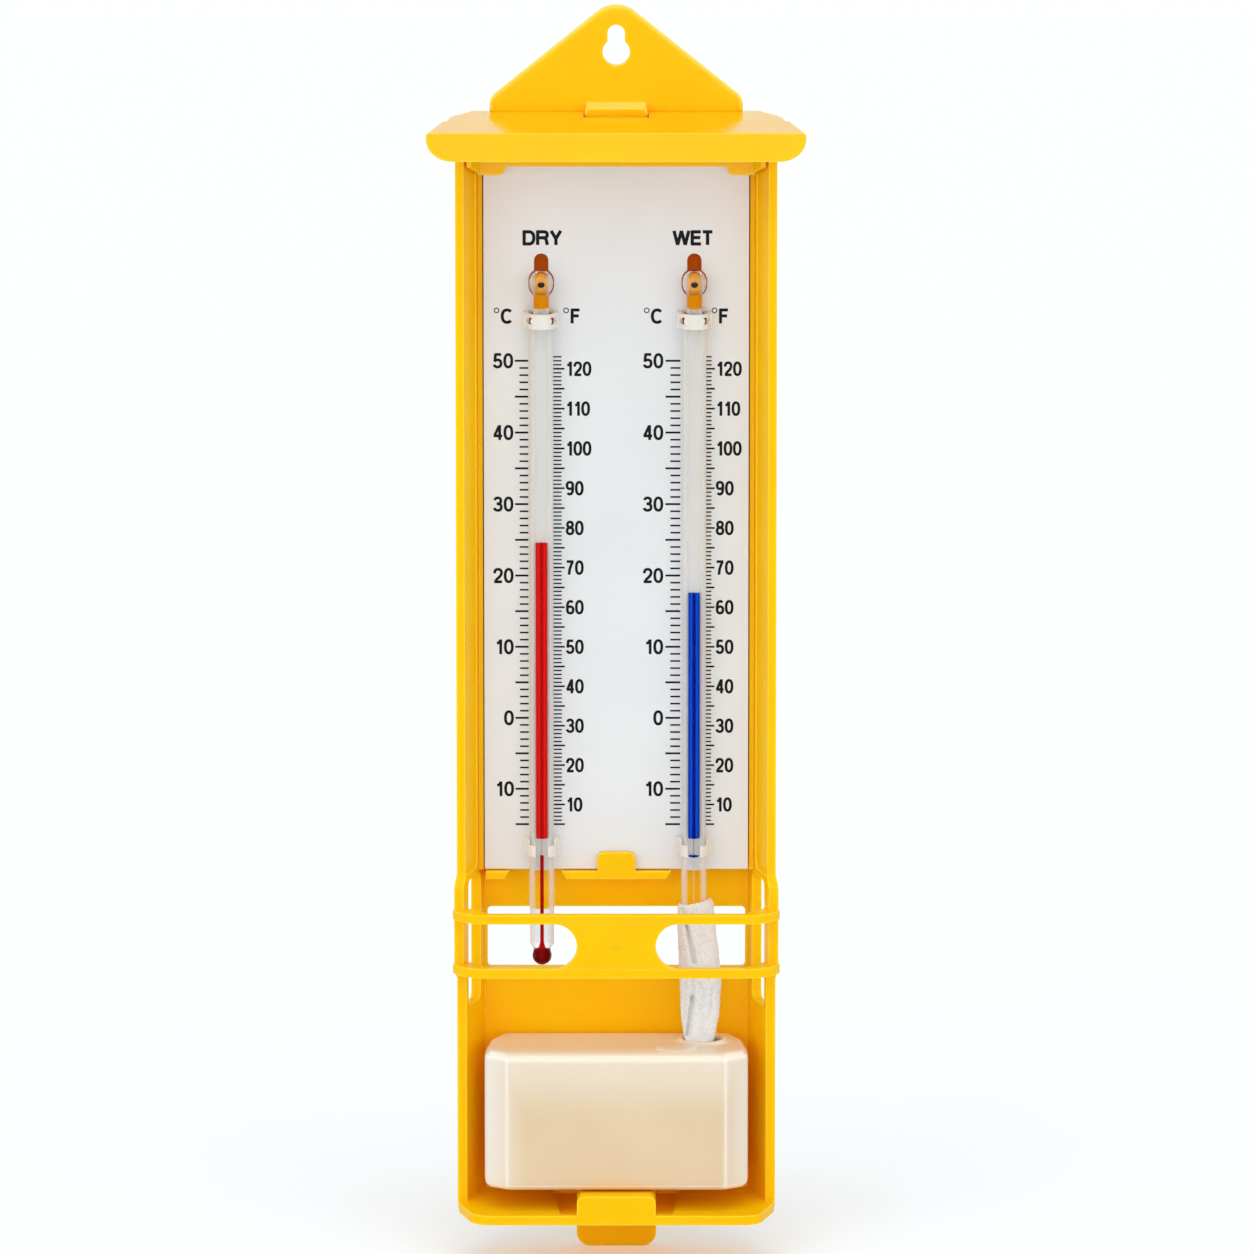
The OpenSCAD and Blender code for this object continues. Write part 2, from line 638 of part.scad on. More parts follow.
// the natural plastic clips: the upper one snaps on from the front with barbed pegs, the lower one comes
// through the plate from behind and holds the stem in two claws
clip_w = 9;
band_t = 0.85;
grip_r = stem_r + snug;
foot_t = 1;
clip_back = plate_front - plate_t - snug;
module pegs(z, inner) {
    for (s = [-1, 1]) translate([s * peg_x - peg_w / 2, -plate_front - foot_t + 0.1, z - peg_h / 2])
        cube([peg_w, plate_t + foot_t - 0.1 + inner, peg_h]);
}
module clip_plan() {
    difference() {
        union() {
            translate([0, stem_y]) circle(r = grip_r + band_t);
            translate([-clip_w / 2, stem_y]) square([clip_w, -stem_y - plate_front - snug / 2]);
        }
        translate([0, stem_y]) circle(r = grip_r);
        translate([-grip_r, stem_y]) square([2 * grip_r, stem_r + plate_t]);
        translate([-clip_w, -plate_front - snug / 2]) square([2 * clip_w, clip_w]);
    }
}
// the band has a round window in each shoulder, with a nub beside it that presses on the neck
window_x = 2.8;
nub_x = 2.05;
module upper_clip(x) {
    zc = z_clip_top - upper_clip_h / 2;
    barb = 0.5;
    color([0.95, 0.93, 0.88]) translate([x, 0, 0]) {
        difference() {
            translate([0, 0, z_clip_top - upper_clip_h]) linear_extrude(upper_clip_h) clip_plan();
            for (s = [-1, 1]) translate([s * window_x, stem_y - grip_r - 2, zc + 0.2])
                rotate([-90, 0, 0]) cylinder(r = 0.9, h = grip_r + 1.2, $fn = 24);
        }
        for (s = [-1, 1]) translate([s * nub_x, stem_y - 2.35, zc + 0.2])
            rotate([90, 0, 0]) cylinder(r = 0.7, h = 1.25, $fn = 24);
        pegs(zc, 0.2 + barb);
        for (s = [-1, 1]) translate([s * (peg_x + barb / 2) - peg_w / 2, -clip_back, zc - peg_h / 2])
            cube([peg_w, 0.9, peg_h]);
    }
}
module lower_clip(x) {
    zc = z_low_clip_top - lower_clip_h / 2;
    jaw_h = 2.9;
    gap = 3.2;
    color([0.95, 0.93, 0.88]) translate([x, 0, 0]) {
        difference() {
            translate([0, 0, z_thin]) linear_extrude(lower_clip_h) clip_plan();
            translate([-gap / 2, stem_y - clip_w, z_thin - over])
                cube([gap, clip_w, jaw_h + over]);
            translate([-grip_r + 0.1, stem_y - clip_w, z_thin + jaw_h])
                cube([2 * grip_r - 0.2, clip_w, lower_clip_h]);
        }
        pegs(zc, snug + 0.4);
        // the bar that joins the claws behind the plate
        translate([-peg_x - peg_w / 2, -clip_back, zc - peg_h / 2]) cube([2 * peg_x + peg_w, 1.1, peg_h]);
    }
}
module dry_upper_clip() { upper_clip(dry_x); }
module wet_upper_clip() { upper_clip(wet_x); }
module dry_lower_clip() { lower_clip(dry_x); }
module wet_lower_clip() { lower_clip(wet_x); }

// reservoir: clipped corners in plan, soft edges, thin wall, a raised ring round the wick hole
edge_r = 2.4;
rear_taper = 3.5;
side_taper = 0.9;
corner_across = 4.3;
corner_deep = 5.4;
tank_corners = [[tank_w / 2 - rear_taper, 0], [tank_w / 2 - side_taper, tank_d * 0.3],
    [tank_w / 2, tank_d * 0.63], [tank_w / 2, tank_d - corner_deep], [tank_w / 2 - corner_across, tank_d]];
module tank_body(inset) {
    r = edge_r - inset;
    hull() for (s = [-1, 1], p = tank_corners, z = [z_tank + edge_r, z_tank_top - edge_r])
        translate([s * (p[0] - edge_r), tank_y - min(max(p[1], edge_r), tank_d - edge_r), z])
            sphere(r = r, $fn = 16);
}
module reservoir() {
    color([0.95, 0.9, 0.8]) difference() {
        union() {
            tank_body(0);
            translate([mouth_x, mouth_y, z_tank_top - tank_t / 2])
                cylinder(r1 = ring_r + 0.6, r2 = ring_r - 0.6, h = tank_t / 2 + 0.8);
            // the round pad beside the mouth
            translate([mouth_x - 6.9, mouth_y - 8.6, z_tank_top - tank_t / 2])
                cylinder(r = 4.9, h = tank_t / 2 + 0.35);
        }
        tank_body(tank_t);
        translate([mouth_x, mouth_y, z_tank_top - 2 * tank_t]) cylinder(r = mouth_r, h = 4 * tank_t);
    }
}

// wick: a flattened cotton sleeve with one long fold, from the wet bulb down into the water
wick_drop = 13.6;
z_wick_top = z_thin - wick_drop;
wick_clear = 5;
z_wick_end = z_tank + wick_clear;
wick_rings = 30;
wick_sides = 32;
mouth_half = 3.4;
mouth_half_deep = 2;
narrowing = 9;
function ease(t) = t < 0 ? 0 : t > 1 ? 1 : t * t * (3 - 2 * t);
function mix(a, b, t) = a + (b - a) * t;
// share of the way from the sleeve's top to the reservoir's mouth
function fall(z) = ease((z_wick_top - z) / (z_wick_top - z_tank_top));
function wick_half(z) = z > z_tank_top + narrowing
    ? mix(wick_w / 2 - 0.9, wick_w / 2, ease((z_wick_top - z) / 16))
    : mix(wick_w / 2, mouth_half, ease((z_tank_top + narrowing - z) / 8));
function wick_deep(z) = mix(bulb_r + 1.65, mouth_half_deep, ease((z_bulb - bulb_r - z) / 14));
function wick_mid(z) = mix(wet_x + 0.3, mouth_x - 0.5, fall(z));
function wick_mid_y(z) = mix(stem_y, mouth_y - 0.15 - mouth_half_deep, fall(z));
// the fold presses a groove into the front face, which runs slantwise down
function fold(a, z) = 1 - 0.2 * ease((z_bulb - bulb_r - z) / 6) * exp(-pow((a - 252 + 26 * fall(z)) / 17, 2));
function wick_ring(z) = [for (i = [0:wick_sides - 1]) let (a = 360 * i / wick_sides)
    [wick_mid(z) + wick_half(z) * cos(a) * fold(a, z),
     wick_mid_y(z) + wick_deep(z) * sin(a) * fold(a, z), z]];
module wick() {
    n = wick_sides;
    points = [for (k = [0:wick_rings]) each wick_ring(z_wick_top + (z_wick_end - z_wick_top) * k / wick_rings)];
    sides = [for (k = [0:wick_rings - 1], i = [0:n - 1]) let (a = k * n + i, b = k * n + (i + 1) % n)
        each [[a, b, b + n], [a, b + n, a + n]]];
    ends = [[for (i = [n - 1:-1:0]) i], [for (i = [0:n - 1]) wick_rings * n + i]];
    color([0.95, 0.94, 0.92]) difference() {
        polyhedron(points = points, faces = concat(sides, ends));
        translate([wet_x, stem_y, z_bulb]) cylinder(r = stem_r + swell + seat, h = z_wick_top - z_bulb + over);
        translate([wet_x, stem_y, z_bulb]) sphere(r = bulb_r + seat, $fn = 24);
    }
}

case();
roof();
scale_plate();
dry_glass();
wet_glass();
dry_enamel();
wet_enamel();
dry_bulb_spirit();
wet_bulb_spirit();
dry_column();
wet_column();
dry_level();
wet_level();
dry_upper_clip();
wet_upper_clip();
dry_lower_clip();
wet_lower_clip();
reservoir();
wick();
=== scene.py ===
import math
import bmesh
import bpy
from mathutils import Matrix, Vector, noise


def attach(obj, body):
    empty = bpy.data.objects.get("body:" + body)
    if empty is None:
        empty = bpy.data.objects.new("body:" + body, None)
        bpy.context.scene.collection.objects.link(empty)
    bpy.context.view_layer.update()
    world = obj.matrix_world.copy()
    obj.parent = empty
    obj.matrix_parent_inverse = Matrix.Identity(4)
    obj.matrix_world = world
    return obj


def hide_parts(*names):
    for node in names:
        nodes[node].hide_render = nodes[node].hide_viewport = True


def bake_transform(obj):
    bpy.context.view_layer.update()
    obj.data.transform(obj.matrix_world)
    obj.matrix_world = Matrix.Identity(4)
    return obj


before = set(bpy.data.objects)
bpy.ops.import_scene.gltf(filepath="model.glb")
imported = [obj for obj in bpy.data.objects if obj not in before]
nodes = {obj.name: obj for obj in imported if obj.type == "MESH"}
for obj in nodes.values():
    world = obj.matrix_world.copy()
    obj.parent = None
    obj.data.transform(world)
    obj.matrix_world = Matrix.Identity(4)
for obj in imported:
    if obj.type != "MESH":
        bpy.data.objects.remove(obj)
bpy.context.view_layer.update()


# Case
# One thick yellow moulding: back, leaning side walls, hanger, bulb guard, shelf and fixing tongue.
# Injection moulded in glossy styrene; its edges are slightly round where the mould halves meet.
def new_finish(name):
    finish = bpy.data.materials.new(name)
    finish.use_nodes = True
    return finish, finish.node_tree, finish.node_tree.nodes["Principled BSDF"]


def parted(tree, vector):
    parts = tree.nodes.new("ShaderNodeSeparateXYZ")
    tree.links.new(vector, parts.inputs["Vector"])
    return parts.outputs


def spot_on(tree, kind="Object"):
    # where a spot lies on the piece in x, y and z, or with "Normal" the way it faces
    return parted(tree, tree.nodes.new("ShaderNodeTexCoord").outputs[kind])


def worked(tree, operation, *terms):
    # one step of arithmetic on numbers and on what other nodes give
    step = tree.nodes.new("ShaderNodeMath")
    step.operation = operation
    for socket, term in zip(step.inputs, terms):
        if isinstance(term, bpy.types.NodeSocket):
            tree.links.new(term, socket)
        else:
            socket.default_value = term
    return step.outputs["Value"]


def ranged(tree, source, low, high, start=0, end=1, way="LINEAR"):
    # while the source goes from start to end, the result goes from low to high
    span = tree.nodes.new("ShaderNodeMapRange")
    span.interpolation_type = way
    for socket, value in (("From Min", start), ("From Max", end), ("To Min", low), ("To Max", high)):
        span.inputs[socket].default_value = value
    tree.links.new(source, span.inputs["Value"])
    return span.outputs["Result"]


def painted(tree, under, over, share):
    # one colour laid over another; a colour is three numbers or what another node gives
    mix = tree.nodes.new("ShaderNodeMix")
    mix.data_type = "RGBA"
    for socket, colour in (("A", under), ("B", over)):
        if isinstance(colour, tuple):
            mix.inputs[socket].default_value = (*colour, 1)
        else:
            tree.links.new(colour, mix.inputs[socket])
    tree.links.new(share, mix.inputs["Factor"])
    return mix.outputs["Result"]


def ramped(tree, source, stops, way="LINEAR"):
    # every stop is (position, colour), from the low end to the high end
    ramp = tree.nodes.new("ShaderNodeValToRGB")
    ramp.color_ramp.interpolation = way
    marks = ramp.color_ramp.elements
    for mark, (position, colour) in zip(marks, (stops[0], stops[-1])):
        mark.position = position
        mark.color = (*colour, 1)
    for position, colour in stops[1:-1]:
        marks.new(position).color = (*colour, 1)
    tree.links.new(source, ramp.inputs["Fac"])
    return ramp.outputs["Color"]


def grain(tree, scale, detail):
    speckle = tree.nodes.new("ShaderNodeTexNoise")
    speckle.inputs["Scale"].default_value = scale
    speckle.inputs["Detail"].default_value = detail
    tree.links.new(tree.nodes.new("ShaderNodeTexCoord").outputs["Object"], speckle.inputs["Vector"])
    return speckle.outputs["Fac"]


def tinted(tree, source, dark, light):
    return ramped(tree, source, [(0.3, dark), (0.7, light)])


def raised(tree, source, strength, height):
    bump = tree.nodes.new("ShaderNodeBump")
    bump.inputs["Strength"].default_value = strength
    bump.inputs["Distance"].default_value = height
    tree.links.new(source, bump.inputs["Height"])
    return bump.outputs["Normal"]


# the painted highlight along edges: how far it reaches and how strong it is
edge_highlight_reach = 0.0007
edge_highlight_share = 0.8
# how far the painted shade in hollows looks for surrounding surfaces
hollow_shade_reach = 0.0055
hanger_foot = -0.0152
# the space behind the plate, where shade is painted, as its middle and half its size along each axis
behind_plate = (("X", 0, 0.0346), ("Y", -0.0041, 0.0034), ("Z", -0.1188, 0.0944))
# painted shade in hollows: paler at the foot of the tray, deeper above
foot_shade_yellow = (1.0, 0.52, 0.0)
hollow_shade_yellow = (0.98, 0.37, 0.0)
# painted shade colour for the back behind the plate
behind_plate_shade_yellow = (0.98, 0.2, 0.0)
# painted highlight colour for moulded edges
edge_highlight_yellow = (1.0, 0.68, 0.07)
# painted highlight colour for the hanger's sloping border
border_highlight_yellow = (1.0, 0.71, 0.13)


def edge_light(tree, colour, bright):
    # painted highlight: every moulded edge is painted paler, as if its rounded rim caught the light
    rounded = tree.nodes.new("ShaderNodeBevel")
    rounded.samples = 6
    rounded.inputs["Radius"].default_value = edge_highlight_reach
    flat = tree.nodes.new("ShaderNodeNewGeometry")
    agree = tree.nodes.new("ShaderNodeVectorMath")
    agree.operation = "DOT_PRODUCT"
    tree.links.new(rounded.outputs["Normal"], agree.inputs[0])
    tree.links.new(flat.outputs["Normal"], agree.inputs[1])
    one_way, turned_away = 0.995, 0.8
    return painted(tree, colour, bright,
        ranged(tree, agree.outputs["Value"], 0, edge_highlight_share, one_way, turned_away))


def pale_border(tree, colour, bright, share):
    # painted highlight: the sloping border round the hanger is painted paler, as it catches more light than its flat
    # middle
    facing = parted(tree, tree.nodes.new("ShaderNodeNewGeometry").outputs["Normal"])
    nearly_flat, sloping = -0.985, -0.955
    slope = ranged(tree, facing["Y"], 0, share, nearly_flat, sloping)
    above = worked(tree, "GREATER_THAN", spot_on(tree)["Z"], hanger_foot)
    return painted(tree, colour, bright, worked(tree, "MULTIPLY", slope, above))


def shut_in(tree, colour, deep):
    # painted shade: the back behind the plate is painted deep orange, as only light coloured by the yellow walls
    # reaches it
    spot = spot_on(tree)
    across, through, up = [worked(tree, "COMPARE", spot[axis], middle, half) for axis, middle, half in behind_plate]
    return painted(tree, colour, deep, worked(tree, "MULTIPLY", worked(tree, "MULTIPLY", across, through), up))


def hollow_tint(tree, colour, deep):
    # painted shade: the colour turns deep orange in narrow hollows, found by ambient occlusion
    corner = tree.nodes.new("ShaderNodeAmbientOcclusion")
    corner.inputs["Distance"].default_value = hollow_shade_reach
    corner.samples = 8
    shut, wide_open = 0.05, 0.55
    # the painted shade is a paler yellow at the foot of the tray, which the floor's light reaches
    foot_z, wall_z = -0.27, -0.24
    hollow = painted(tree, foot_shade_yellow, deep, ranged(tree, spot_on(tree)["Z"], 0, 1, foot_z, wall_z))
    return painted(tree, hollow, colour, ranged(tree, corner.outputs["AO"], 0, 1, shut, wide_open))


def moulded_plastic(name, dark, light, gloss, blush, depth, shine=0.5, deep=None, painted_rim=None):
    # blush and depth say how much light goes into the plastic and how far; the deep colour is painted shade in
    # hollows, the rim colour a painted highlight along edges
    plastic, tree, skin = new_finish(name)
    clouds, patches, pores = grain(tree, 38, 3), grain(tree, 160, 4), grain(tree, 1900, 2)
    colour = tinted(tree, clouds, dark, light)
    if deep:
        colour = hollow_tint(tree, colour, deep)
    if painted_rim:
        colour = edge_light(tree, colour, painted_rim)
    tree.links.new(colour, skin.inputs["Base Color"])
    tree.links.new(ranged(tree, patches, gloss - 0.04, gloss + 0.06), skin.inputs["Roughness"])
    tree.links.new(raised(tree, pores, 0.12, 0.00004), skin.inputs["Normal"])
    skin.inputs["Specular IOR Level"].default_value = shine
    skin.inputs["Subsurface Weight"].default_value = blush
    skin.inputs["Subsurface Radius"].default_value = (1.0, 0.5, 0.1)
    skin.inputs["Subsurface Scale"].default_value = depth
    return plastic


def dress(piece, *finishes):
    piece.data.materials.clear()
    for finish in finishes:
        piece.data.materials.append(finish)


def soften_edges(piece):
    weld = piece.modifiers.new("joined", "WELD")
    weld.merge_threshold = 0.000002
    flat = piece.modifiers.new("flats", "DECIMATE")
    flat.decimate_type = "DISSOLVE"
    flat.angle_limit = math.radians(0.4)
    edge = piece.modifiers.new("edges", "BEVEL")
    edge.width = 0.0003
    edge.segments = 2
    edge.limit_method = "ANGLE"
    edge.angle_limit = math.radians(28)
    edge.miter_outer = "MITER_ARC"
    edge.use_clamp_overlap = True
    even = piece.modifiers.new("even", "WEIGHTED_NORMAL")
    even.mode = "FACE_AREA"
    even.weight = 100
    even.keep_sharp = False


# the case's colour carries painted shade in hollows and behind the plate, and painted highlights on edges and on the
# hanger's border
case_yellow = moulded_plastic("case_yellow_styrene", (0.99, 0.53, 0.001), (1.0, 0.57, 0.002), 0.3, 0.5, 0.004,
    0.06, hollow_shade_yellow, edge_highlight_yellow)
case_tree = case_yellow.node_tree
case_colour = case_tree.nodes["Principled BSDF"].inputs["Base Color"]
# painted highlight on the hanger's border, then painted shade behind the plate
border_highlighted = pale_border(case_tree, case_colour.links[0].from_socket, border_highlight_yellow, 0.85)
case_tree.links.new(shut_in(case_tree, border_highlighted, behind_plate_shade_yellow), case_colour)
dress(nodes["case"], case_yellow)
soften_edges(nodes["case"])


def round_steps(turns):
    return [(math.cos(math.tau * i / turns), math.sin(math.tau * i / turns)) for i in range(turns)]


def skinned(skin, rings):
    # closes the skin between each ring of corners and the next; a ring of one corner is a pole
    for a, b in zip(rings, rings[1:]):
        turns = max(len(a), len(b))
        for i in range(turns):
            j = (i + 1) % turns
            if len(a) == 1:
                skin.faces.new([a[0], b[i], b[j]])
            elif len(b) == 1:
                skin.faces.new([a[i], b[0], a[j]])
            else:
                skin.faces.new([a[i], b[i], b[j], a[j]])


def shaped(name, skin, smooth=False):
    mesh = bpy.data.meshes.new(name)
    skin.to_mesh(mesh)
    skin.free()
    if smooth:
        for face in mesh.polygons:
            face.use_smooth = True
    piece = bpy.data.objects.new(name, mesh)
    bpy.context.scene.collection.objects.link(piece)
    return piece


# the gate mark of the moulding is a shallow oval ring on the web: half width, half height and how far it stands out
gate_x, gate_y, gate_z = 0.0001, -0.02781, -0.2299
gate_rings = ((0.00118, 0.00078, 0), (0.00108, 0.0007, 0.00006), (0.00092, 0.00056, 0.00006), (0.0008, 0.00046, 0))
gate = bmesh.new()
skinned(gate, [[gate.verts.new((gate_x + wide * c, gate_y - proud, gate_z + tall * s)) for c, s in round_steps(24)]
    for wide, tall, proud in gate_rings])
gate_mark = shaped("gate_mark", gate)
dress(gate_mark, case_yellow)
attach(gate_mark, "case_body")


# Roof
# A separate yellow cap, moulded in the same styrene and pushed down over the walls under the hook.
# Its top is polished, so that the hanger mirrors in it.
# as on the case, painted shade in hollows and painted highlights along edges
roof_yellow = moulded_plastic("roof_yellow_styrene", (0.99, 0.55, 0.002), (1.0, 0.59, 0.004), 0.12, 0.45, 0.0028,
    0.24, hollow_shade_yellow, edge_highlight_yellow)
dress(nodes["roof"], roof_yellow)
soften_edges(nodes["roof"])


# Scale plate
# A white opal acrylic plate, punched behind the stems, that rests on the case's ledges.
# The black scales are screen printed on its satin front.
plate_white = moulded_plastic("plate_opal_acrylic", (0.735, 0.748, 0.75), (0.765, 0.775, 0.777), 0.38, 0.0, 0.001,
    0.2)
dress(nodes["scale_plate"], plate_white)

print_black, ink_tree, ink = new_finish("print_black_ink")
ink_tree.links.new(tinted(ink_tree, grain(ink_tree, 2500, 2), (0.003, 0.003, 0.004), (0.008, 0.008, 0.009)),
    ink.inputs["Base Color"])
ink.inputs["Roughness"].default_value = 0.42
ink.inputs["Specular IOR Level"].default_value = 0.1

plate_front = -0.0083
ink_lift = 0.00003
ink_y = plate_front - ink_lift
zero_z = -0.1732
degree = 0.001877
digit_h = 0.00388

# the letters are drawn with a broad pen: centre lines in a box one cap high, from the lower left corner
pen_w = 0.186
digit_w = 0.63
letter_gap = 0.075
stroke_step = 0.000006


def bend(cx, cy, rx, ry, a0, a1, n=14):
    # an arc of a slightly squared oval
    square = 2.3
    points = []
    for i in range(n + 1):
        a = math.radians(a0 + (a1 - a0) * i / n)
        c, d = math.cos(a), math.sin(a)
        points.append((cx + rx * math.copysign(abs(c) ** (2 / square), c),
            cy + ry * math.copysign(abs(d) ** (2 / square), d)))
    return points


def turned_over(strokes):
    return [[(digit_w - x, 1 - y) for x, y in stroke] for stroke in strokes]


six = [bend(0.325, 0.31, 0.225, 0.235, 0, 360, 24), bend(0.335, 0.5, 0.235, 0.425, 192, 48)]
# every letter is (width, strokes)
letters = {
    "0": (digit_w, [bend(0.315, 0.5, 0.235, 0.425, 0, 360, 28)]),
    "1": (0.52, [[(0.37, 0), (0.37, 1)], [(0.11, 0.74), (0.22, 0.76), (0.3, 0.84), (0.34, 0.96)]]),
    "2": (digit_w, [bend(0.315, 0.69, 0.225, 0.235, 188, -12) + [(0.5, 0.53), (0.4, 0.4), (0.24, 0.26), (0.13, 0.08)],
        [(0.05, 0.075), (0.58, 0.075)]]),
    "3": (digit_w, [bend(0.305, 0.725, 0.205, 0.2, 170, -88), bend(0.305, 0.295, 0.235, 0.22, 88, -170),
        [(0.23, 0.52), (0.33, 0.52)]]),
    "4": (digit_w, [[(0.41, 0.95), (0.1, 0.28)], [(0.03, 0.275), (0.61, 0.275)], [(0.44, 0), (0.44, 1)]]),
    "5": (digit_w, [[(0.13, 0.925), (0.55, 0.925)], [(0.17, 0.96), (0.125, 0.44)],
        bend(0.305, 0.32, 0.235, 0.245, 150, -165)]),
    "6": (digit_w, six),
    "7": (digit_w, [[(0.05, 0.925), (0.575, 0.925)], [(0.53, 0.93), (0.4, 0.7), (0.29, 0.4), (0.23, 0)]]),
    "8": (digit_w, [bend(0.315, 0.735, 0.195, 0.19, 0, 360, 24), bend(0.315, 0.295, 0.23, 0.22, 0, 360, 24)]),
    "9": (digit_w, turned_over(six)),
    "C": (0.72, [bend(0.36, 0.5, 0.285, 0.425, 42, 318, 24)]),
    "F": (0.6, [[(0.075, 0), (0.075, 1)], [(0.02, 0.925), (0.58, 0.925)], [(0.02, 0.52), (0.52, 0.52)]]),
    "D": (0.72, [[(0.075, 0), (0.075, 1)], [(0.02, 0.925)] + bend(0.35, 0.5, 0.285, 0.425, 90, -90)
        + [(0.02, 0.075)]]),
    "R": (0.73, [[(0.075, 0), (0.075, 1)], [(0.02, 0.925)] + bend(0.43, 0.715, 0.2, 0.21, 90, -90)
        + [(0.02, 0.505)], [(0.44, 0.5), (0.56, 0.4), (0.6, 0.2), (0.64, 0)]]),
    "Y": (0.68, [[(0.06, 1), (0.34, 0.44)], [(0.62, 1), (0.34, 0.44)], [(0.34, 0.5), (0.34, 0)]]),
    "W": (0.98, [[(0.06, 1), (0.27, 0)], [(0.27, 0), (0.49, 1)], [(0.49, 1), (0.71, 0)], [(0.71, 0), (0.92, 1)]]),
    "E": (0.6, [[(0.075, 0), (0.075, 1)], [(0.02, 0.925), (0.57, 0.925)], [(0.02, 0.52), (0.54, 0.52)],
        [(0.02, 0.075), (0.58, 0.075)]]),
    "T": (0.6, [[(0.02, 0.925), (0.58, 0.925)], [(0.3, 0), (0.3, 1)]])}


def pen_stroke(sheet, path, width, lift):
    closed = math.dist(path[0], path[-1]) < width * 0.2
    last = len(path) - 1
    ends = []
    for i, (x, z) in enumerate(path):
        before = path[i - 1] if i else path[-2 if closed else 0]
        after = path[i + 1] if i < last else path[1 if closed else last]
        heading = math.atan2(after[1] - before[1], after[0] - before[0])
        nx, nz = -math.sin(heading) * width / 2, math.cos(heading) * width / 2
        ends.append([sheet.verts.new((x + k * nx, ink_y - lift, z + k * nz)) for k in (-1, 1)])
    for a, b in zip(ends, ends[1:]):
        sheet.faces.new([a[0], b[0], b[1], a[1]])


def printed(name, sheet):
    mark = shaped(name, sheet)
    dress(mark, print_black)
    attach(mark, "case_body")


def printed_words(name, rows, heavy=1):
    # every row is (words, x, z, cap height, side that x names, width share)
    sheet = bmesh.new()
    for words, x, z, cap, align, share in rows:
        wide = sum(letters[c][0] * share + letter_gap for c in words) - letter_gap
        left = x / cap - {"LEFT": 0, "RIGHT": wide, "CENTER": wide / 2}[align]
        for c in words:
            for over, path in enumerate(letters[c][1]):
                pen_stroke(sheet, [((left + px * share) * cap, z + (pz - 0.5) * cap) for px, pz in path],
                    pen_w * cap * heavy, over * stroke_step)
            left += letters[c][0] * share + letter_gap
    printed(name, sheet)


def printed_lines(name, bars):
    # every bar is (x from, x to, z, thickness)
    sheet = bmesh.new()
    for x0, x1, z, t in bars:
        corners = [(x0, z - t / 2), (x1, z - t / 2), (x1, z + t / 2), (x0, z + t / 2)]
        sheet.faces.new([sheet.verts.new((x, ink_y, h)) for x, h in corners])
    printed(name, sheet)


def printed_ring(name, x, z, outer, thick):
    sheet = bmesh.new()
    skinned(sheet, [[sheet.verts.new((x + r * c, ink_y, z + r * s)) for c, s in round_steps(28)]
        for r in (outer, outer - thick)])
    printed(name, sheet)


def fahrenheit_z(f):
    return zero_z + (f - 32) / 1.8 * degree


# the ends of the marks and the near edges of the numbers, for the Celsius scale and for the Fahrenheit one
scales = {
    "dry": dict(c_end=-0.0227, c_minor=-0.02495, c_major=-0.02614, c_label=-0.0266,
        f_start=-0.0165, f_minor=-0.01412, f_major=-0.01334, f_label=-0.01300),
    "wet": dict(c_end=0.01653, c_minor=0.01397, c_major=0.0127, c_label=0.01208,
        f_start=0.02253, f_minor=0.02457, f_major=0.0254, f_label=0.02575)}
c_line, c_heavy_line = 0.00044, 0.00052
f_line, f_heavy_line = 0.00036, 0.00046
for side, place in scales.items():
    bars = []
    for c in range(-15, 51):
        whole = c % 5 == 0
        bars.append((place["c_major"] if whole else place["c_minor"], place["c_end"], zero_z + c * degree,
            c_heavy_line if whole else c_line))
    for f in range(5, 124):
        whole = f % 5 == 0
        bars.append((place["f_start"], place["f_major"] if whole else place["f_minor"], fahrenheit_z(f),
            f_heavy_line if whole else f_line))
    printed_lines(side + "_ticks", bars)
    printed_words(side + "_c_numbers", [(str(abs(c)), place["c_label"], zero_z + c * degree, digit_h, "RIGHT", 1)
        for c in range(-10, 51, 10)])
    printed_words(side + "_f_numbers", [(str(f), place["f_label"], fahrenheit_z(f), digit_h * 0.96, "LEFT", 0.9)
        for f in range(10, 121, 10)])

name_z, name_h = -0.0473, 0.0037
printed_words("names", [("DRY", -0.0190, name_z, name_h, "CENTER", 1.2),
    ("WET", 0.0197, name_z, name_h, "CENTER", 1.2)], 1.25)
# every unit is (name, x, letter, width share, how far left of it the degree ring stands)
unit_z, unit_h = -0.0677, 0.0038
ring_z, ring_r, ring_w = -0.0662, 0.00073, 0.00026
for name, x, letter, share, left in (("dry_c", -0.0281, "C", 1.15, 0.0027), ("dry_f", -0.0105, "F", 1, 0.0024),
        ("wet_c", 0.01055, "C", 1.15, 0.0027), ("wet_f", 0.0277, "F", 1, 0.0024)):
    printed_words(name + "_unit", [(letter, x, unit_z, unit_h, "CENTER", share)], 1.12)
    printed_ring(name + "_ring", x - left, ring_z, ring_r, ring_w)


# Thermometers
# Lens-front glass stems, lamp-worked at both ends: a bulb below, a small expansion chamber above.
# They are clear glass with a white enamel strip behind the bore, held to the plate by their clips.
glass_turns = 160
dry_x = -0.0193
wet_x = 0.0201
stem_y = -0.0117
stem_r = 0.0031
tip_z = -0.05505
chamber_r = 0.0031
chamber_h = 0.0069
chamber_z = tip_z - chamber_h / 2
chamber_wall = 0.00045
neck_r = 0.002015
# the band of the neck that is painted amber for the lit yellow case seen through it
neck_paint_top = -0.0613
neck_paint_foot = -0.0650
shoulder_z = -0.068
# here, below the scale, the wide bore narrows to a fine one
thin_z = -0.2087
bulb_z = -0.2354
bulb_r = 0.0025
on_axis = 1e-7


def bow(z, rx, rz, a0, a1, n):
    turns = [math.radians(a0 + (a1 - a0) * i / n) for i in range(n + 1)]
    return [(rx * math.sin(a), z + rz * math.cos(a)) for a in turns]


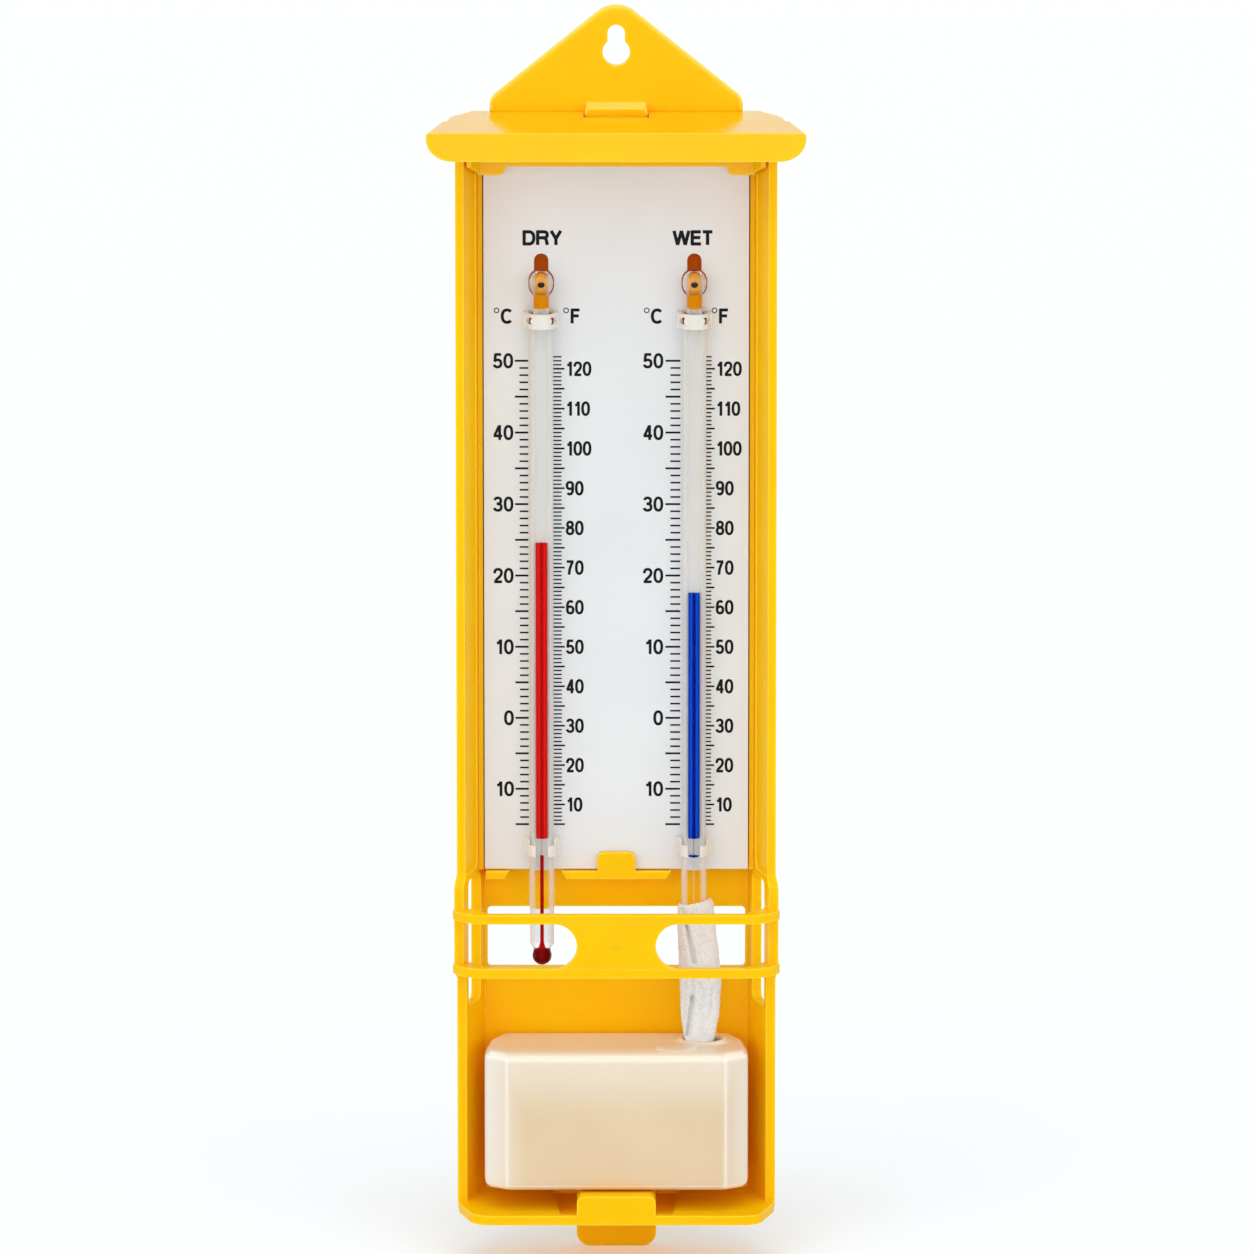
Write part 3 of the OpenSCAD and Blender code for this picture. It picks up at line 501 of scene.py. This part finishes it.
def short_steps(profile):
    longest = 0.003
    steps = [profile[0]]
    for a, b in zip(profile, profile[1:]):
        n = max(1, math.ceil(abs(b[1] - a[1]) / longest))
        steps += [(a[0] + (b[0] - a[0]) * i / n, a[1] + (b[1] - a[1]) * i / n) for i in range(1, n + 1)]
    return steps


def turned(name, x, profiles, turns=glass_turns):
    # each profile is (radius, height) from end to end, turned about the stem's axis
    lathe = bmesh.new()
    for profile in profiles:
        rings = []
        for r, z in short_steps(profile):
            around = round_steps(turns) if r > on_axis else [(0, 0)]
            rings.append([lathe.verts.new((x + r * c, stem_y + r * s, z)) for c, s in around])
        skinned(lathe, rings)
    return shaped(name, lathe, smooth=True)


# from the tip down: chamber, neck painted amber, shoulder, stem, a slight swelling below the scale, and bulb
outside = ([(0, tip_z)] + bow(chamber_z, chamber_r, chamber_h / 2, 6, 138, 22)
    + [(neck_r, neck_paint_top), (neck_r, neck_paint_foot), (neck_r, shoulder_z + 0.0004), (neck_r, shoulder_z),
    (neck_r + 0.0003, shoulder_z - 0.0006), (stem_r - 0.0003, shoulder_z - 0.0012),
    (stem_r, shoulder_z - 0.0018), (stem_r, thin_z - 0.003), (stem_r + 0.00015, thin_z - 0.005),
    (stem_r + 0.00015, thin_z - 0.013), (stem_r, thin_z - 0.016), (stem_r, bulb_z + bulb_r + 0.001),
    (stem_r - 0.0001, bulb_z + bulb_r + 0.0005), (stem_r - 0.0005, bulb_z + bulb_r),
    (bulb_r * 0.88, bulb_z + bulb_r * 0.75)] + bow(bulb_z, bulb_r, bulb_r, 66, 174, 16) + [(0, bulb_z - bulb_r)])
# the chamber at the tip is blown hollow; the stem below it is drawn solid round the spirit's own mesh
hollow = bow(chamber_z, chamber_r - chamber_wall, chamber_h / 2 - chamber_wall, 179, 1, 24)


def mixed(tree, first, second, share):
    both = tree.nodes.new("ShaderNodeMixShader")
    tree.links.new(share, both.inputs["Fac"])
    tree.links.new(first, both.inputs[1])
    tree.links.new(second, both.inputs[2])
    return both.outputs["Shader"]


def blown_glass(name, colour, clearness, rough, painted_side_white, glint):
    # the side white is a painted reflection, saying how white the sides look; glint says how strongly the face
    # mirrors the room
    glass, tree, glaze = new_finish(name)
    glaze.inputs["Transmission Weight"].default_value = clearness
    glaze.inputs["IOR"].default_value = 1.47
    glaze.inputs["Specular Tint"].default_value = (glint, glint, glint, 1)
    glaze.inputs["Base Color"].default_value = (*colour, 1)
    tree.links.new(ranged(tree, grain(tree, 400, 2), rough, rough + 0.015), glaze.inputs["Roughness"])
    # painted reflection: at its left and right a glass rod shows the white of the room, so a diffuse white is painted
    # there by the way the surface faces
    aside = worked(tree, "ABSOLUTE", spot_on(tree, "Normal")["X"])
    first_side_white, full_side_white = 0.44, 0.72
    side_white_paint = tree.nodes.new("ShaderNodeBsdfDiffuse")
    side_white_paint.inputs["Color"].default_value = (0.75, 0.735, 0.705, 1)
    with_side_white = mixed(tree, glaze.outputs["BSDF"], side_white_paint.outputs["BSDF"],
        ranged(tree, aside, 0, painted_side_white, first_side_white, full_side_white))
    # light goes on through the glass, so it throws only a faint shadow
    through = tree.nodes.new("ShaderNodeBsdfTransparent")
    through.inputs["Color"].default_value = (0.97, 0.97, 0.97, 1)
    rays = tree.nodes.new("ShaderNodeLightPath")
    tree.links.new(mixed(tree, with_side_white, through.outputs["BSDF"], rays.outputs["Is Shadow Ray"]),
        tree.nodes["Material Output"].inputs["Surface"])
    return glass


clear_glass = blown_glass("lens_glass", (0.97, 0.965, 0.95), 1, 0.01, 0.62, 0.14)
bulb_glass = blown_glass("bulb_glass", (0.98, 0.97, 0.94), 1, 0.0, 0, 0.08)
chamber_glass = blown_glass("chamber_glass", (0.98, 0.94, 0.86), 1, 0.0, 0.5, 0.5)
# painted light: the neck is a mostly opaque amber, standing for the lit yellow case seen through its solid glass
neck_painted_glass = blown_glass("neck_glass", (0.8, 0.3, 0.001), 0.3, 0.05, 0, 0.1)
enamel_white = moulded_plastic("enamel_white", (0.71, 0.71, 0.695), (0.74, 0.74, 0.725), 0.3, 0.0, 0.0005)
# the dark bead at the bore's mouth, partly painted shade
bore_shade_brown = moulded_plastic("bore_shadow", (0.012, 0.003, 0.001), (0.03, 0.01, 0.002), 0.3, 0.0, 0.0005, 0.08)
# painted light: an amber sheet in the chamber stands for the lit yellow case seen through the glass; it thins out to
# nothing at its rim
painted_amber_glow = moulded_plastic("painted_amber_glow", (0.8, 0.38, 0.03), (0.86, 0.42, 0.035), 0.3, 0.0, 0.0005, 0.1)
glow_tree = painted_amber_glow.node_tree
glow_edge = glow_tree.nodes.new("ShaderNodeLayerWeight")
glow_edge.inputs["Blend"].default_value = 0.5
glow_tree.links.new(ranged(glow_tree, glow_edge.outputs["Facing"], 0.8, 0, 0.35, 0.95, "SMOOTHSTEP"),
    glow_tree.nodes["Principled BSDF"].inputs["Alpha"])

# inside the chamber the painted amber glow stands for the lit case seen through the glass, and a dark bead at the
# bore's mouth is partly the mouth and partly painted shade, the dark slot seen through the glass
glow_path = bow(chamber_z - 0.0002, chamber_r * 0.82, chamber_h * 0.42, 1, 179, 20)
bead_path = bow(chamber_z - 0.0001, 0.001, 0.0009, 1, 179, 12)
bead_forward = 0.0019
for side, x in (("dry", dry_x), ("wet", wet_x)):
    tube = turned(side + "_thermometer", x, [outside, hollow])
    dress(tube, clear_glass, neck_painted_glass, bulb_glass, chamber_glass)
    # every face starts as clear stem; the neck, painted amber, the bulb and the chamber are picked by their heights
    for face in tube.data.polygons:
        if neck_paint_foot < face.center.z < neck_paint_top:
            face.material_index = 1
        elif face.center.z < bulb_z + bulb_r:
            face.material_index = 2
        elif face.center.z > neck_paint_top:
            face.material_index = 3
    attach(tube, "case_body")
    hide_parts(side + "_glass")
    dress(nodes[side + "_enamel"], enamel_white)
    glow = turned(side + "_chamber_painted_glow", x, [glow_path], 48)
    dress(glow, painted_amber_glow)
    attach(glow, "case_body")
    mouth = turned(side + "_bore_mouth_shade", x, [bead_path], 32)
    for corner in mouth.data.vertices:
        corner.co.y -= bead_forward
    dress(mouth, bore_shade_brown)
    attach(mouth, "case_body")


# Spirit
# Dyed alcohol fills each bulb and the bore above it, red in the dry glass and blue in the wet one.
# The column stretches from the foot of the scale to its top, which stands at the reading.
column_top = {"dry": -0.12628, "wet": -0.13941}
column_foot = -0.2042
level_h = 0.006
thread_r = 0.00099
capillary_r = 0.0003
hair_r = 0.00002
# the spirit clings to the glass, so it is drawn this much wider than its bore
film = 0.00002
fill_r = 0.00237
fill_top = bulb_z + fill_r
throat_r = 0.0009
column_steps = 24
first_step = 0.0002


def dyed_spirit(name, axis, core, bright, painted_rim):
    # painted light: the thread is painted dark in its middle and brighter beside it, as the lens of the stem shows it
    spirit, tree, dye = new_finish(name)
    away = worked(tree, "ABSOLUTE", worked(tree, "SUBTRACT", spot_on(tree)["X"], axis))
    wobble = ranged(tree, grain(tree, 260, 1), -0.08, 0.08)
    tree.links.new(ramped(tree, worked(tree, "MULTIPLY_ADD", away, 1 / thread_r, wobble),
        [(0.22, core), (0.55, bright), (0.95, painted_rim)]), dye.inputs["Base Color"])
    dye.inputs["Roughness"].default_value = 0.25
    dye.inputs["Specular IOR Level"].default_value = 0.02
    return spirit


red_spirit = dyed_spirit("spirit_red", dry_x, (0.42, 0.0, 0.001), (0.95, 0.01, 0.006), (0.7, 0.003, 0.003))
deep_red = dyed_spirit("spirit_red_deep", dry_x, (0.22, 0.0, 0.001), (0.27, 0.001, 0.001), (0.16, 0.0, 0.001))
blue_spirit = dyed_spirit("spirit_blue", wet_x, (0.0, 0.004, 0.2), (0.002, 0.1, 0.86), (0.0, 0.04, 0.55))
for side, x, colour, deep in (("dry", dry_x, red_spirit, deep_red), ("wet", wet_x, blue_spirit, blue_spirit)):
    r = thread_r + film
    hair = hair_r + film
    top = column_top[side]
    foot = top - level_h
    # a hair-thin thread leads up to the column, which is drawn in many short steps
    rise = [(r, column_foot + first_step + (foot - column_foot - first_step) * i / column_steps)
        for i in range(column_steps + 1)]
    column = turned(side + "_spirit_column", x,
        [[(0, thin_z), (hair, thin_z), (hair, column_foot), (r * 0.9, column_foot)] + rise], 32)
    dress(column, colour)
    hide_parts(side + "_column")
    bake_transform(column)
    head = turned(side + "_spirit_top", x, [[(r, foot), (r, top), (0, top)]], 32)
    dress(head, colour)
    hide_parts(side + "_level")
    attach(head, side + "_level_body")
    thread = (capillary_r if side == "dry" else hair_r) + film
    upper = [(thread, thin_z - 0.0006)]
    if side == "wet":
        # the wet column's foot shows below its clip
        upper.append((throat_r, thin_z - 0.0004))
    drop = turned(side + "_spirit_bulb", x, [[(0, bulb_z - fill_r)] + bow(bulb_z, fill_r, fill_r, 172, 34, 16)
        + [(throat_r, fill_top + 0.0001), (thread + 0.00012, fill_top + 0.0008), (thread, fill_top + 0.0014)]
        + upper + [(upper[-1][0], thin_z), (0, thin_z)]], 48)
    dress(drop, deep, colour, enamel_white)
    for face in drop.data.polygons:
        if face.center.z > fill_top + 0.0004:
            # the wet thread is too fine to show its colour
            face.material_index = 2 if side == "wet" and face.center.z < thin_z - 0.0007 else 1
    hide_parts(side + "_bulb_spirit")
    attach(drop, "case_body")


# Clips
# Four small clips of natural nylon: a band over each neck with barbed pegs, and two claws at each foot.
# They are pushed through the punched holes of the plate.
# the clips' edges get a painted highlight
clip_nylon = moulded_plastic("clip_nylon", (0.92, 0.87, 0.8), (0.95, 0.91, 0.86), 0.3, 0.3, 0.001, 0.4,
    painted_rim=(0.96, 0.95, 0.93))
clip_nylon.node_tree.nodes["Principled BSDF"].inputs["Transmission Weight"].default_value = 0.25
for side in ("dry", "wet"):
    for place in ("upper", "lower"):
        dress(nodes[f"{side}_{place}_clip"], clip_nylon)


# Reservoir
# A blow-moulded vessel of milky polythene, which stands on the shelf's rest and lifts out to the front.
# The wick enters by the ringed hole in its top.
tank_half = 0.0342
tank_foot = -0.2942
# where the painted warm glow of the case gives way to paler milk: axis, from and to, and how pale it gets there
glow_fade_zones = (("X", -0.022, -tank_half, 0.75), ("X", 0.026, tank_half, 0.55),
    ("Z", tank_foot + 0.018, tank_foot + 0.034, 0.45))
highlight_span = 0.25


def turning_light(tree, colour, bright, axis, middle, share):
    # painted highlight: a rounded corner is painted paler where it has turned by a certain amount, as if it caught
    # the light there
    turned_by = worked(tree, "ABSOLUTE", spot_on(tree, "Normal")[axis])
    dull, lit = (0, 0, 0), (share, share, share)
    return painted(tree, colour, bright, ramped(tree, turned_by,
        [(middle - highlight_span, dull), (middle, lit), (middle + highlight_span, dull)], "EASE"))


def thicker_corners(tree, colour, pale):
    # painted light: the middle and lower front keep a warm colour that stands for the yellow case's light coming
    # through; the ends and the top are paler
    spot = spot_on(tree)
    left, right, top = [ranged(tree, spot[axis], 0, share, near, far, "SMOOTHSTEP")
        for axis, near, far, share in glow_fade_zones]
    return painted(tree, colour, pale, worked(tree, "MAXIMUM", worked(tree, "MAXIMUM", left, right), top))


reservoir_milky = moulded_plastic("reservoir_polythene", (0.71, 0.545, 0.335), (0.75, 0.59, 0.38), 0.28, 0.4,
    0.0012, 0.4)
reservoir_tree = reservoir_milky.node_tree
reservoir_skin = reservoir_tree.nodes["Principled BSDF"]
reservoir_skin.inputs["Subsurface Radius"].default_value = (1.0, 1.0, 1.0)
# its skin is even and smooth, without the grain of the case
for socket in ("Roughness", "Normal"):
    reservoir_tree.links.remove(reservoir_skin.inputs[socket].links[0])
reservoir_skin.inputs["Roughness"].default_value = 0.3
reservoir_skin.inputs["Coat Weight"].default_value = 0.3
reservoir_skin.inputs["Coat Roughness"].default_value = 0.15
reservoir_colour = reservoir_skin.inputs["Base Color"]
# the vessel's colour carries painted light: the case's warm glow in its middle and painted highlights on its rounded
# corners
milk_and_painted_light = thicker_corners(reservoir_tree, reservoir_colour.links[0].from_socket, (0.87, 0.83, 0.77))
# painted highlights on the rounded corners at the sides and along the top
for axis, middle, share in (("X", 0.36, 0.5), ("Z", 0.42, 0.45)):
    milk_and_painted_light = turning_light(reservoir_tree, milk_and_painted_light, (0.95, 0.94, 0.92), axis, middle, share)
reservoir_tree.links.new(milk_and_painted_light, reservoir_colour)
dress(nodes["reservoir"], reservoir_milky)
# blow moulding leaves no sharp edge anywhere, so the whole vessel is drawn with flowing corners
blown = nodes["reservoir"].modifiers.new("blown", "REMESH")
blown.mode = "VOXEL"
blown.voxel_size = 0.00045
blown.use_smooth_shade = True
flow = nodes["reservoir"].modifiers.new("flowing", "SMOOTH")
flow.factor = 0.5
flow.iterations = 8


# Wick
# A white cotton sleeve, knitted in the round and pulled over the wet bulb, folded once where it narrows.
# It hangs down into the water.
wick_top = -0.2209
wick_end = -0.2892
tank_top = -0.2576
wick_hole_y = -0.0162
# half the sleeve's depth over the bulb and below it, and the height over which it changes
bulb_depth = 0.00415
pressed_depth = 0.002
narrowing_h = 0.014
# the sleeve's middle line and half width at some heights
wick_middle = [(-0.2205, 0.0205, 0.0046), (-0.2280, 0.0209, 0.0050), (-0.2360, 0.0215, 0.0053),
    (-0.2425, 0.0219, 0.0054), (-0.2500, 0.0217, 0.0050), (-0.2545, 0.0216, 0.0043), (-0.2575, 0.0217, 0.0036),
    (-0.2892, 0.0219, 0.0034)]
# folds on the front of the sleeve: from and to in x and z, width and depth
folds = [(0.0172, -0.2225, 0.0182, -0.2267, 0.0004, 0.0009), (0.0182, -0.2267, 0.0202, -0.2363, 0.0005, 0.0019),
    (0.0201, -0.2400, 0.0196, -0.2460, 0.0005, 0.0010), (0.0198, -0.2455, 0.0184, -0.2556, 0.0005, 0.0018),
    (0.0213, -0.2413, 0.0228, -0.2455, 0.0005, 0.0007), (0.0252, -0.2432, 0.0244, -0.2512, 0.0005, 0.0006),
    (0.0235, -0.2255, 0.0229, -0.2350, 0.0008, 0.0003), (0.0222, -0.2478, 0.0226, -0.2562, 0.0005, 0.0006),
    (0.0176, -0.2400, 0.0174, -0.2520, 0.0006, 0.0005)]
# the fuzz of the yarn, as how fine and how high it is
fuzz_layers = ((2400, 0.00004), (1100, 0.00005), (350, 0.00018))
wick_sides = 150
wick_rings = 260
# the rings of corners at the cut top edge that are frayed, and those that hug the glass
frayed_rings = 9
hugging_rings = 4
hug_share = 0.35
hug_r = 0.0034
edge_rise, edge_fray, edge_dip = 0.0008, 0.0003, 0.0014


def ease(t):
    t = min(max(t, 0), 1)
    return t * t * (3 - 2 * t)


def along(table, z, column):
    for a, b in zip(table, table[1:]):
        if z >= b[0]:
            t = ease((a[0] - z) / (a[0] - b[0]))
            return a[column] + (b[column] - a[column]) * t
    return table[-1][column]


def pressed(x, z):
    sink = 0
    for x0, z0, x1, z1, wide, deep in folds:
        t = min(max(((x - x0) * (x1 - x0) + (z - z0) * (z1 - z0)) / ((x1 - x0) ** 2 + (z1 - z0) ** 2), 0), 1)
        away = math.hypot(x - x0 - t * (x1 - x0), z - z0 - t * (z1 - z0))
        sink += deep * math.exp(-(away / wide) ** 2)
    return sink


knit = bmesh.new()
rings = []
for k in range(wick_rings + 1):
    z = wick_top + (wick_end - wick_top) * k / wick_rings
    cx, half = along(wick_middle, z, 1), along(wick_middle, z, 2)
    cy = stem_y + (wick_hole_y - stem_y) * ease((wick_top - z) / (wick_top - tank_top))
    deep = bulb_depth + (pressed_depth - bulb_depth) * ease((bulb_z - bulb_r - z) / narrowing_h)
    frayed = max(0, 1 - k / frayed_rings)
    hug = ease(1 - k / hugging_rings) * hug_share
    ring = []
    for c, s in round_steps(wick_sides):
        x, y = cx + half * c, cy + deep * s
        spot = Vector((x, y, z))
        fuzz = sum(noise.noise(spot * fine) * high for fine, high in fuzz_layers)
        if s < 0:
            y += pressed(x, z) * min(1, -s * 2)
        x += fuzz * c
        y += fuzz * s
        # the cut top edge rises to the right, dips at the back and is frayed
        rough_edge = edge_fray * noise.noise(Vector((x, y, 0)) * 1500)
        ragged = (edge_rise * (x - cx) / half + rough_edge - edge_dip * max(0, s)) * frayed
        x += (wet_x + hug_r * c - x) * hug
        y += (stem_y + hug_r * s - y) * hug
        ring.append(knit.verts.new((x, y, z + ragged)))
    rings.append(ring)
skinned(knit, rings)
cotton_wick = shaped("cotton_wick", knit, smooth=True)

# looped yarn: small round heads, darker in between, and a warmer tint towards the frayed top
cotton, cotton_tree, yarn = new_finish("cotton_knit")
yarn_spot = cotton_tree.nodes.new("ShaderNodeTexCoord").outputs["Object"]
loops = cotton_tree.nodes.new("ShaderNodeTexVoronoi")
loops.inputs["Scale"].default_value = 1900
loops.inputs["Randomness"].default_value = 0.9
cotton_tree.links.new(yarn_spot, loops.inputs["Vector"])
heads = worked(cotton_tree, "SUBTRACT", 1, loops.outputs["Distance"])
fibres = worked(cotton_tree, "MULTIPLY_ADD", heads, 0.75, ranged(cotton_tree, grain(cotton_tree, 900, 4), 0, 0.35))
wick_white = tinted(cotton_tree, fibres, (0.68, 0.69, 0.69), (0.8, 0.81, 0.815))
warmer_top = ranged(cotton_tree, parted(cotton_tree, yarn_spot)["Z"], 0, 0.45, wick_top - 0.0014, wick_top + 0.0006)
cotton_tree.links.new(painted(cotton_tree, wick_white, (0.72, 0.55, 0.34), warmer_top), yarn.inputs["Base Color"])
cotton_tree.links.new(raised(cotton_tree, fibres, 0.45, 0.00015), yarn.inputs["Normal"])
yarn.inputs["Roughness"].default_value = 0.95
yarn.inputs["Sheen Weight"].default_value = 0.2
dress(cotton_wick, cotton)
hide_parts("wick")
sleeve = cotton_wick.modifiers.new("cloth_thickness", "SOLIDIFY")
sleeve.thickness = 0.0005
sleeve.offset = -1
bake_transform(cotton_wick)


# Studio
# The instrument stands on a white floor in an even, soft studio light from the front and from above.
# The camera stands three metres away and looks slightly down, as in the photograph.
floor_z = -0.3155
ground = bmesh.new()
ground.faces.new([ground.verts.new((x, y, floor_z)) for x, y in ((-6, -4), (6, -4), (6, 12), (-6, 12))])
studio_floor = shaped("studio_floor", ground)
paper, paper_tree, paper_skin = new_finish("white_paper")
paper_skin.inputs["Base Color"].default_value = (0.84, 0.89, 0.94, 1)
paper_skin.inputs["Roughness"].default_value = 0.9
paper_lift = 0.2
paper_rays = paper_tree.nodes.new("ShaderNodeLightPath")
paper_glow = paper_tree.nodes.new("ShaderNodeEmission")
paper_tree.links.new(worked(paper_tree, "MULTIPLY", paper_rays.outputs["Is Camera Ray"], paper_lift),
    paper_glow.inputs["Strength"])
paper_light = paper_tree.nodes.new("ShaderNodeAddShader")
paper_tree.links.new(paper_skin.outputs["BSDF"], paper_light.inputs[0])
paper_tree.links.new(paper_glow.outputs["Emission"], paper_light.inputs[1])
paper_tree.links.new(paper_light.outputs["Shader"], paper_tree.nodes["Material Output"].inputs["Surface"])
dress(studio_floor, paper)

# the camera, the glass and the polish see a white room, which lights the object more gently
room = bpy.data.worlds.new("studio_room")
bpy.context.scene.world = room
room.use_nodes = True
room_tree = room.node_tree
air = room_tree.nodes["Background"]
air.inputs["Color"].default_value = (1, 1, 1, 1)
seen = room_tree.nodes.new("ShaderNodeLightPath")
clear = worked(room_tree, "MAXIMUM", seen.outputs["Is Camera Ray"], seen.outputs["Is Transmission Ray"])
mirrored = worked(room_tree, "MAXIMUM", clear, seen.outputs["Is Glossy Ray"])
room_light, seen_white = 0.525, 1.0
room_tree.links.new(ranged(room_tree, mirrored, room_light, seen_white), air.inputs["Strength"])

# every lamp is (name, turn, rise, share of full light, spread), with its angles in degrees
for name, turn, rise, share, spread in (("left_light", -42, 18, 0.185, 50), ("right_light", 45, 15, 0.15, 50),
        ("front_light", 0, 3, 0.175, 26), ("top_light", 0, 62, 0.165, 50), ("left_strip", -84, 14, 0.07, 14),
        ("right_strip", 84, 14, 0.07, 14), ("top_strip", 0, 78, 0.1, 14)):
    lamp = bpy.data.lights.new(name, "SUN")
    lamp.energy = math.pi * share
    lamp.angle = math.radians(spread)
    soft = bpy.data.objects.new(name, lamp)
    soft.rotation_euler = (math.radians(90 - rise), 0, math.radians(turn))
    bpy.context.scene.collection.objects.link(soft)

photo_width = 1254
focal_pixels = 11600
eye_distance = 3.0
tilt = math.radians(11)
lens = bpy.data.cameras.new("photo_camera")
lens.sensor_width = 36
lens.lens = focal_pixels / photo_width * 36
lens.clip_start = 0.1
lens.clip_end = 60
eye = bpy.data.objects.new("photo_camera", lens)
target = Vector((0.00277, -0.010, -0.14889))
eye.location = target + Vector((0, -eye_distance * math.cos(tilt), eye_distance * math.sin(tilt)))
eye.rotation_euler = (math.radians(90) - tilt, 0, 0)
bpy.context.scene.collection.objects.link(eye)
bpy.context.scene.camera = eye
bpy.context.scene.view_settings.view_transform = "Standard"
bpy.context.scene.cycles.diffuse_bounces = 10
